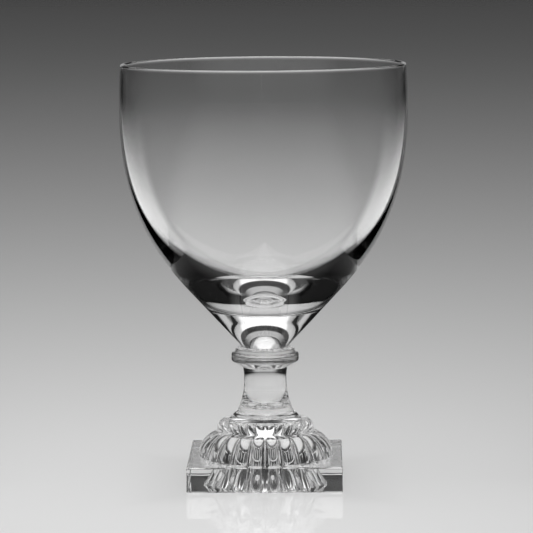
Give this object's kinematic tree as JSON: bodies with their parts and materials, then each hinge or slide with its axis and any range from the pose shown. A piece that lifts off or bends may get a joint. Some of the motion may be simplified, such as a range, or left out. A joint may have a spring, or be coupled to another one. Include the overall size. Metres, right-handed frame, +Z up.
{
  "type": "water goblet",
  "caption": "Clear crystal water goblet: round bowl with a solid conical bottom, small collar, short stem and a square stepped foot with a fluted hollow underneath.",
  "frame": {"origin": "middle of the foot's underside, on the table", "axes": "+Z up along the goblet's axis, towards the rim; X and Y square to the sides of the foot"},
  "size_m": [0.103, 0.103, 0.15],
  "materials": {
    "crystal": "polished clear crystal"
  },
  "bodies": {
    "root": {"bowl": "crystal", "collar": "crystal", "stem": "crystal", "foot": "crystal"}
  },
  "joints": []
}
